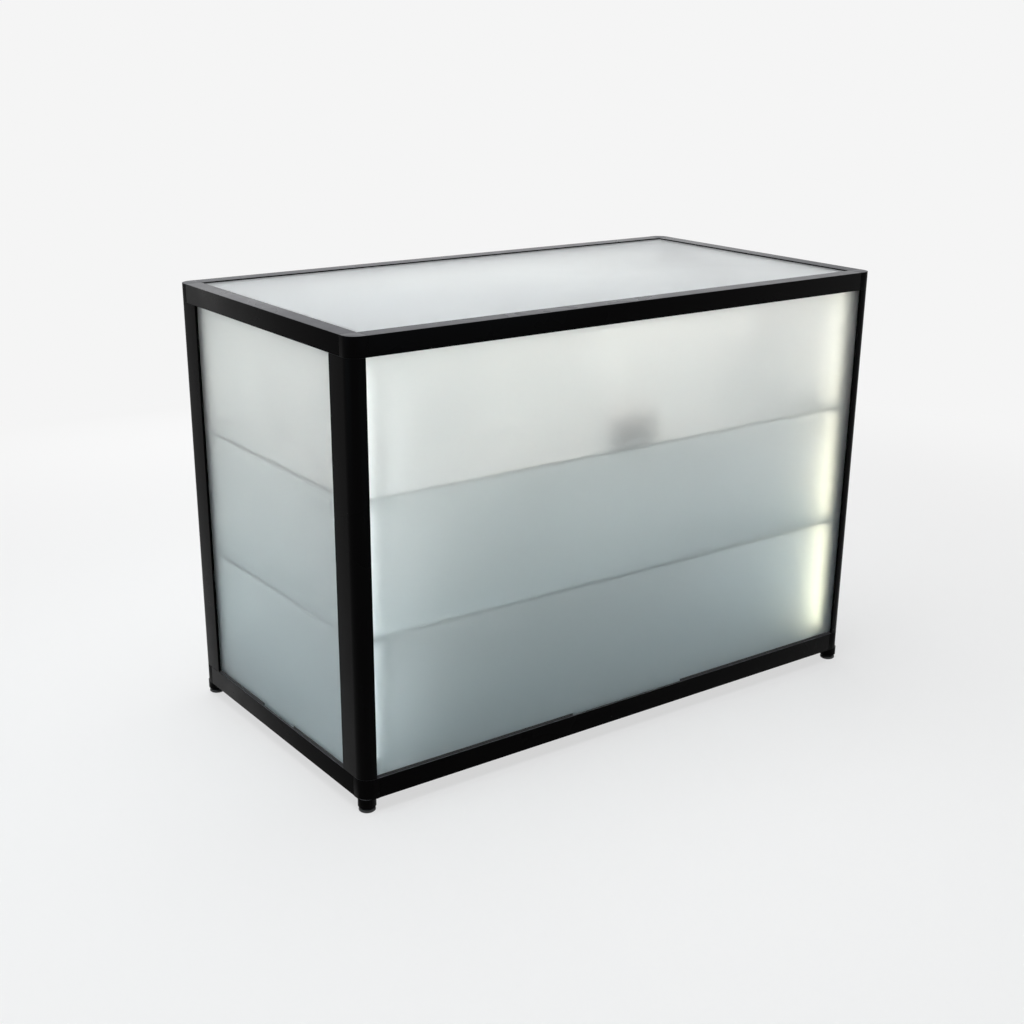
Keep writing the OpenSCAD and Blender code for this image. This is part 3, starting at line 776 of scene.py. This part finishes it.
class Bench:
    """Where pieces are modelled, dressed and put on their bodies."""

    WELD_DISTANCE = 0.000002
    FLAT_ANGLE = math.radians(0.5)
    BROKEN_ANGLE = math.radians(40.0)
    BROKEN_STEPS = 2
    SMOOTH_ANGLE = math.radians(35.0)

    def __init__(self, frame: dict, finishes: Finishes) -> None:
        """Keeps the frame and the finishes.

        Args:
            finishes: The counter's finishes.
        """
        record = frame["record"]
        self.nodes: dict[str, bpy.types.Object] = frame["nodes"]
        self.finishes = finishes
        self.slots = {s["node"]: s["material_slot"] for s in record["subparts"]}
        self.bodies = {n: body for body, names in record["behaviour"]["bodies"].items() for n in names}

    def keep(self, node: str) -> None:
        """Dresses a solid that shows as it is."""
        self.finishes.dress(self.nodes[node], self.slots[node])
        LOG.info("%s keeps its solid, in %s", node, self.slots[node])

    def softened(self, node: str, name: str, width: float) -> None:
        """Replaces a solid by a copy whose sharp edges are broken.

        Args:
            node: The solid's name.
            name: The new piece's name.
            width: The width of the broken edge.
        """
        make_active(self.nodes[node])
        bpy.ops.object.duplicate()
        piece = bpy.context.view_layer.objects.active
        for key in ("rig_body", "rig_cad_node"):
            if key in piece:
                del piece[key]
        piece.parent = None
        piece.matrix_world = Matrix.Identity(4)
        piece.name = name
        bpy.ops.object.mode_set(mode="EDIT")
        bpy.ops.mesh.select_all(action="SELECT")
        bpy.ops.mesh.remove_doubles(threshold=self.WELD_DISTANCE)
        bpy.ops.mesh.dissolve_limited(angle_limit=self.FLAT_ANGLE)
        bpy.ops.object.mode_set(mode="OBJECT")
        bevel = piece.modifiers.new("broken edges", "BEVEL")
        bevel.width = width
        bevel.segments = self.BROKEN_STEPS
        bevel.limit_method = "ANGLE"
        bevel.angle_limit = self.BROKEN_ANGLE
        bpy.ops.object.modifier_apply(modifier=bevel.name)
        bpy.ops.object.shade_smooth_by_angle(angle=self.SMOOTH_ANGLE)
        self.place(piece, self.slots[node], self.bodies[node], node)

    def place(self, piece: bpy.types.Object, slot: str, body: str, *nodes: str) -> None:
        """Dresses a new piece and puts it on its body.

        Args:
            piece: The piece.
            slot: The name of the record's material slot.
            body: The body it moves with.
            nodes: The solids that it stands for.
        """
        self.finishes.dress(piece, slot)
        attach(piece, body)
        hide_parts(*nodes)
        LOG.info("%s in %s on %s", piece.name, slot, body)


# Sub-assemblies


@dataclass
class Frame:
    """Posts, rails and corner blocks."""

    bench: Bench
    edge: float = 0.0006

    def build(self) -> None:
        """Breaks the edges of the profiles and castings, so that their joints show."""
        for corner in CORNERS:
            self.bench.softened(f"post_{corner}", f"upright_{corner}", self.edge)
            self.bench.softened(f"top_block_{corner}", f"top_corner_{corner}", self.edge)
            self.bench.softened(f"bottom_block_{corner}", f"bottom_corner_{corner}", self.edge)
        for side in SIDES:
            self.bench.softened(f"top_rail_{side}", f"upper_rail_{side}", self.edge)
            self.bench.softened(f"bottom_rail_{side}", f"lower_rail_{side}", self.edge)


@dataclass
class Glazing:
    """Frosted panels, top glass and glazing beads."""

    bench: Bench
    arris: float = 0.0008

    def build(self) -> None:
        """Grinds the edges of the glass and keeps the beads."""
        for side in GLAZED_SIDES:
            self.bench.softened(f"{side}_panel", f"{side}_pane", self.arris)
            self.bench.keep(f"{side}_bead")
        self.bench.softened("top_glass", "top_sheet", self.arris)


@dataclass
class Shelving:
    """Floor board with its grommet, shelves and brackets."""

    bench: Bench
    arris: float = 0.001
    board_edge: float = 0.0006
    bracket_edge: float = 0.0005

    def build(self) -> None:
        """Grinds the shelves' edges, breaks those of the board and brackets, and keeps the grommet."""
        self.bench.softened("lower_shelf", "lower_shelf_pane", self.arris)
        self.bench.softened("upper_shelf", "upper_shelf_pane", self.arris)
        self.bench.softened("floor_panel", "floor_board", self.board_edge)
        self.bench.softened("shelf_brackets", "shelf_bracket_set", self.bracket_edge)
        self.bench.keep("cable_grommet")


@dataclass
class SlidingDoors:
    """Doors with their shoes, rollers, cups and tracks."""

    bench: Bench
    arris: float = 0.0006

    def build(self) -> None:
        """Grinds the door glass and keeps the turned pieces and the tracks."""
        for hand in HANDS:
            self.bench.softened(f"door_glass_{hand}", f"door_pane_{hand}", self.arris)
            for node in (f"door_shoe_{hand}", f"roller_axles_{hand}", f"finger_cup_{hand}",
                         f"roller_{hand}_outer", f"roller_{hand}_inner"):
                self.bench.keep(node)
        for node in ("door_track_top", "door_track_bottom"):
            self.bench.keep(node)


@dataclass
class DoorLock:
    """Barrel, plunger and strike."""

    bench: Bench

    def build(self) -> None:
        """Keeps the turned pieces."""
        for node in ("lock_barrel", "lock_plunger", "lock_strike"):
            self.bench.keep(node)


@dataclass
class LevellingFeet:
    """The four feet."""

    bench: Bench

    def build(self) -> None:
        """Keeps the feet."""
        for corner in CORNERS:
            self.bench.keep(f"foot_{corner}")


@dataclass
class Lighting:
    """Light channels with their strips and covers, and the control box."""

    bench: Bench
    box_edge: float = 0.0008

    def build(self) -> None:
        """Keeps the channels and breaks the box's edges."""
        for hand in HANDS:
            for kind in ("channel", "strip", "cover"):
                self.bench.keep(f"light_{kind}_{hand}")
        self.bench.softened("control_box", "light_control", self.box_edge)


# Camera and studio

DAYLIGHT = (0.95, 0.98, 1.0)
COOL_LIGHT = (0.6, 0.86, 1.0)
WARM_LIGHT = (1.0, 0.9, 0.82)


def look_from(place: Place, ahead: Vector) -> Matrix:
    """Returns the matrix of a camera or lamp.

    Args:
        place: Where it stands.
        ahead: Where it looks from there.
    """
    return Matrix.Translation(place) @ ahead.to_track_quat("-Z", "Y").to_matrix().to_4x4()


@dataclass(frozen=True)
class PhotoCamera:
    """The camera of the photograph's view, solved from the frame's corners, with angles in degrees."""

    place: Place = (-2.156, -2.877, 1.619)
    heading: float = 36.0
    pitch: float = -20.0
    roll: float = 0.42
    lens: float = 51.9
    sensor: float = 36.0
    shift: float = 0.05
    nearest: float = 0.05
    farthest: float = 200.0

    def make(self) -> None:
        """Adds the camera and makes it the scene's."""
        data = bpy.data.cameras.new("photo camera")
        data.lens = self.lens
        data.sensor_width = self.sensor
        data.shift_y = self.shift
        data.clip_start = self.nearest
        data.clip_end = self.farthest
        camera = bpy.data.objects.new("photo camera", data)
        bpy.context.scene.collection.objects.link(camera)
        heading, pitch = math.radians(self.heading), math.radians(self.pitch)
        level = math.cos(pitch)
        ahead = Vector((math.sin(heading) * level, math.cos(heading) * level, math.sin(pitch)))
        tilt = Matrix.Rotation(math.radians(self.roll), 4, "Z")
        camera.matrix_world = look_from(self.place, ahead) @ tilt
        bpy.context.scene.camera = camera


@dataclass(frozen=True)
class Lamp:
    """A soft box: a rectangular lamp that looks at a point.

    Attributes:
        power: Its power in watts.
        in_mirrors: Whether glossy surfaces show it.
    """

    name: str
    place: Place
    aim: Place
    width: float
    height: float
    power: float
    colour: Colour
    in_mirrors: bool = True

    def make(self) -> None:
        """Adds the lamp."""
        data = bpy.data.lights.new(self.name, "AREA")
        data.shape = "RECTANGLE"
        data.size = self.width
        data.size_y = self.height
        data.energy = self.power
        data.color = self.colour
        lamp = bpy.data.objects.new(self.name, data)
        lamp.visible_glossy = self.in_mirrors
        bpy.context.scene.collection.objects.link(lamp)
        lamp.matrix_world = look_from(self.place, Vector(self.aim) - Vector(self.place))


@dataclass
class Studio:
    """Plain pale floor, plain world and soft lamps.

    Attributes:
        backdrop: The strength of the background that is seen.
        world_light: The strength of the light that it gives.
        floor_glow: How much of the floor near the counter is backdrop.
        floor_span: The distances between which the floor turns into the backdrop, in metres.
        under_top: The height of the lamps under the counter's top.
    """

    backdrop: float = 0.913
    world_light: float = 0.15
    floor_size: float = 60.0
    floor_colour: Colour = (0.84, 0.83, 0.825)
    floor_roughness: float = 0.9
    floor_glow: float = 0.7
    floor_span: Span = (1.1, 3.4)
    under_top: float = 1.034
    under_width: float = 0.45
    under_depth: float = 0.66

    def build(self) -> None:
        """Makes the floor, the world and the lamps."""
        self._floor()
        self._world()
        for lamp in (*self._soft_boxes(), *self._inside_lamps()):
            lamp.make()
        bpy.context.scene.view_settings.view_transform = "Standard"

    def _soft_boxes(self) -> tuple[Lamp, ...]:
        """Returns the lamps round the counter."""
        return (
            Lamp("overhead soft box", place=(-0.3, 0.3, 3.4), aim=(0.0, 0.0, 0.9),
                 width=3.6, height=2.6, power=135.0, colour=DAYLIGHT),
            Lamp("low front soft box", place=(0.3, -4.0, 0.8), aim=(0.2, 0.0, 0.4),
                 width=3.0, height=1.0, power=13.0, colour=COOL_LIGHT),
            Lamp("left soft box", place=(-3.8, 0.0, 1.6), aim=(-0.7, 0.0, 0.6),
                 width=2.4, height=2.0, power=18.0, colour=COOL_LIGHT),
            Lamp("back soft box", place=(0.55, 3.2, 0.5), aim=(0.1, 0.4, 0.5),
                 width=2.3, height=0.9, power=32.0, colour=DAYLIGHT, in_mirrors=False),
        )

    def _inside_lamps(self) -> tuple[Lamp, ...]:
        """Returns the lamps under the counter's top and beside its left front post."""
        return (
            self._under("left", x=-0.45, power=1.1),
            self._under("middle", x=0.0, power=2.4),
            self._under("right", x=0.45, power=2.35),
            Lamp("light of the left strip", place=(-0.7, -0.33, 0.54), aim=(-0.62, -0.4, 0.54),
                 width=0.014, height=0.86, power=1.35, colour=DAYLIGHT),
        )

    def _under(self, name: str, x: float, power: float) -> Lamp:
        """Returns a lamp that looks down from under the top.

        Args:
            name: The part of the top that it is under.
            x: Its place along the counter.
            power: Its power in watts.
        """
        return Lamp(f"light under the top, {name}", place=(x, 0.0, self.under_top), aim=(x, 0.0, 0.0),
                    width=self.under_width, height=self.under_depth, power=power, colour=WARM_LIGHT)

    def _plain(self, build: Shading) -> bpy.types.NodeSocket:
        """Returns 1 for the rays that see the plain background, and 0 for the rest."""
        path = build.node("ShaderNodeLightPath")
        seen = path.outputs[Rays.CAMERA.value]
        for ray in (Rays.GLOSSY, Rays.TRANSMISSION):
            seen = build.math("MAXIMUM", seen, path.outputs[ray.value])
        return seen

    def _world(self) -> None:
        """Makes a world that is pale to see and soft to light with."""
        world = bpy.data.worlds.new("studio")
        world.use_nodes = True
        bpy.context.scene.world = world
        build = Shading(world.node_tree)
        light = build.found("BACKGROUND")
        build.feed(WHITE, light.inputs["Color"])
        strength = build.between(self._plain(build), (0.0, 1.0), (self.world_light, self.backdrop))
        build.link(strength, light.inputs["Strength"])

    def _floor(self) -> None:
        """Makes the floor, which turns into the backdrop away from the counter."""
        deselect_all()
        bpy.ops.mesh.primitive_plane_add(size=self.floor_size, location=(0.0, 0.0, 0.0))
        floor = bpy.context.active_object
        floor.name = "studio_floor"
        made = Material("studio floor", Base_Color=self.floor_colour, Roughness=self.floor_roughness,
                        Specular_IOR_Level=0.0)
        flat = made.node("ShaderNodeEmission")
        flat.inputs["Strength"].default_value = self.backdrop
        distance = made.node("ShaderNodeVectorMath", operation="LENGTH")
        made.link(made.object_place(), distance.inputs[0])
        away = made.between(distance.outputs["Value"], self.floor_span, (self.floor_glow, 1.0))
        mix = made.node("ShaderNodeMixShader")
        made.link(made.math("MULTIPLY", away, self._plain(made)), mix.inputs[0])
        made.link(made.shader.outputs[0], mix.inputs[1])
        made.link(flat.outputs[0], mix.inputs[2])
        made.link(mix.outputs[0], made.found("OUTPUT_MATERIAL").inputs["Surface"])
        floor.data.materials.append(made.block)


def main() -> None:
    """Builds the counter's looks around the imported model."""
    logging.basicConfig(level=logging.INFO, format="%(name)s: %(message)s")
    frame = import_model()
    PhotoCamera().make()
    bench = Bench(frame, Finishes())
    for assembly in (Frame, Glazing, Shelving, SlidingDoors, DoorLock, LevellingFeet, Lighting):
        assembly(bench).build()
    Studio().build()
    deselect_all()


if __name__ == "__main__":
    main()
